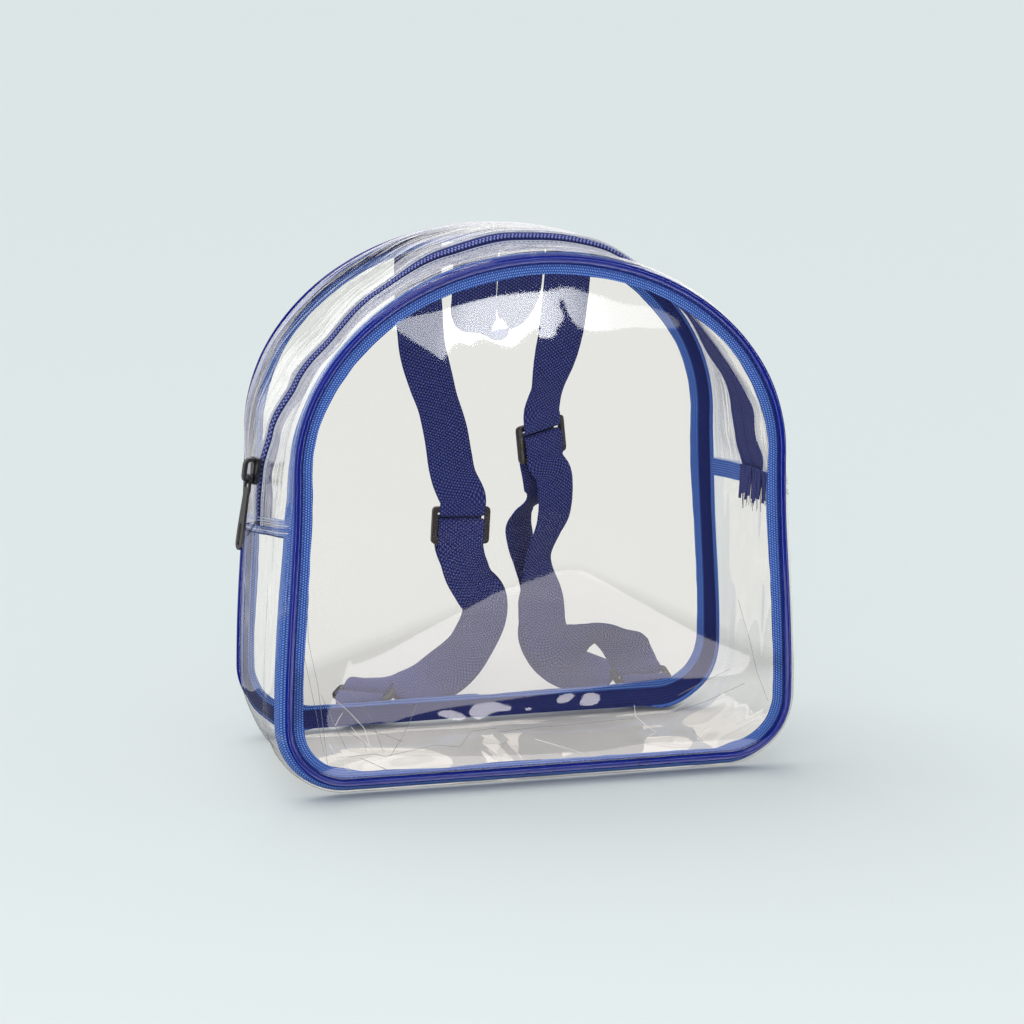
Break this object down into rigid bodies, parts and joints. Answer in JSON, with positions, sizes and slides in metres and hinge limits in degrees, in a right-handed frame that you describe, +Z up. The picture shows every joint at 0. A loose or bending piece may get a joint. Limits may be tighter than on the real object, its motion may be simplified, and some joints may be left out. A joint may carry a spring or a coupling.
{
  "type": "clear stadium backpack",
  "caption": "Clear see-through backpack with an arched top, blue piping, a zip over the arch, webbing shoulder straps and a grab handle.",
  "frame": {"origin": "middle of the bag's bounding box, on the floor that the bag stands on", "axes": "+X to the right as the zipped bag is seen from the front, +Y from the front panel towards the back panel and straps, +Z up"},
  "size_m": [0.3306, 0.214, 0.3199],
  "materials": {
    "clear_sheet": "clear flexible plastic sheet, glossy, softly creased",
    "piping": "glossy royal-blue covered cord",
    "woven_tape": "woven blue tape",
    "zip_tape": "woven navy zip tape",
    "zip_coil": "dark navy nylon coil",
    "zip_metal": "black painted metal",
    "webbing": "flat woven blue webbing",
    "black_plastic": "moulded black plastic"
  },
  "bodies": {
    "bag": {"front_panel": "clear_sheet", "back_panel": "clear_sheet", "gusset_bottom": "clear_sheet", "gusset_top_front": "clear_sheet", "gusset_top_back": "clear_sheet", "piping_front": "piping", "piping_back": "piping", "binding_front": "woven_tape", "binding_back": "woven_tape", "zip_tape_front": "zip_tape", "zip_tape_back": "zip_tape", "zip_coil": "zip_coil", "zip_slider": "zip_metal", "seam_tape_left": "woven_tape", "seam_tape_right": "woven_tape", "strap_left": "webbing", "strap_right": "webbing", "tri_glide_left": "black_plastic", "tri_glide_right": "black_plastic", "ring_left": "black_plastic", "ring_right": "black_plastic", "ring_tab_left": "webbing", "ring_tab_right": "webbing", "grab_handle": "webbing"},
    "zip_pull": {"zip_puller": "zip_metal"}
  },
  "joints": [
    {"name": "zip_pull_hinge", "type": "hinge", "parent": "bag", "child": "zip_pull", "pos_m": [-0.15732, -0.02994, 0.18053], "axis": [-0.1736, 0.9848, 0], "range_deg": [0, 125]}
  ]
}
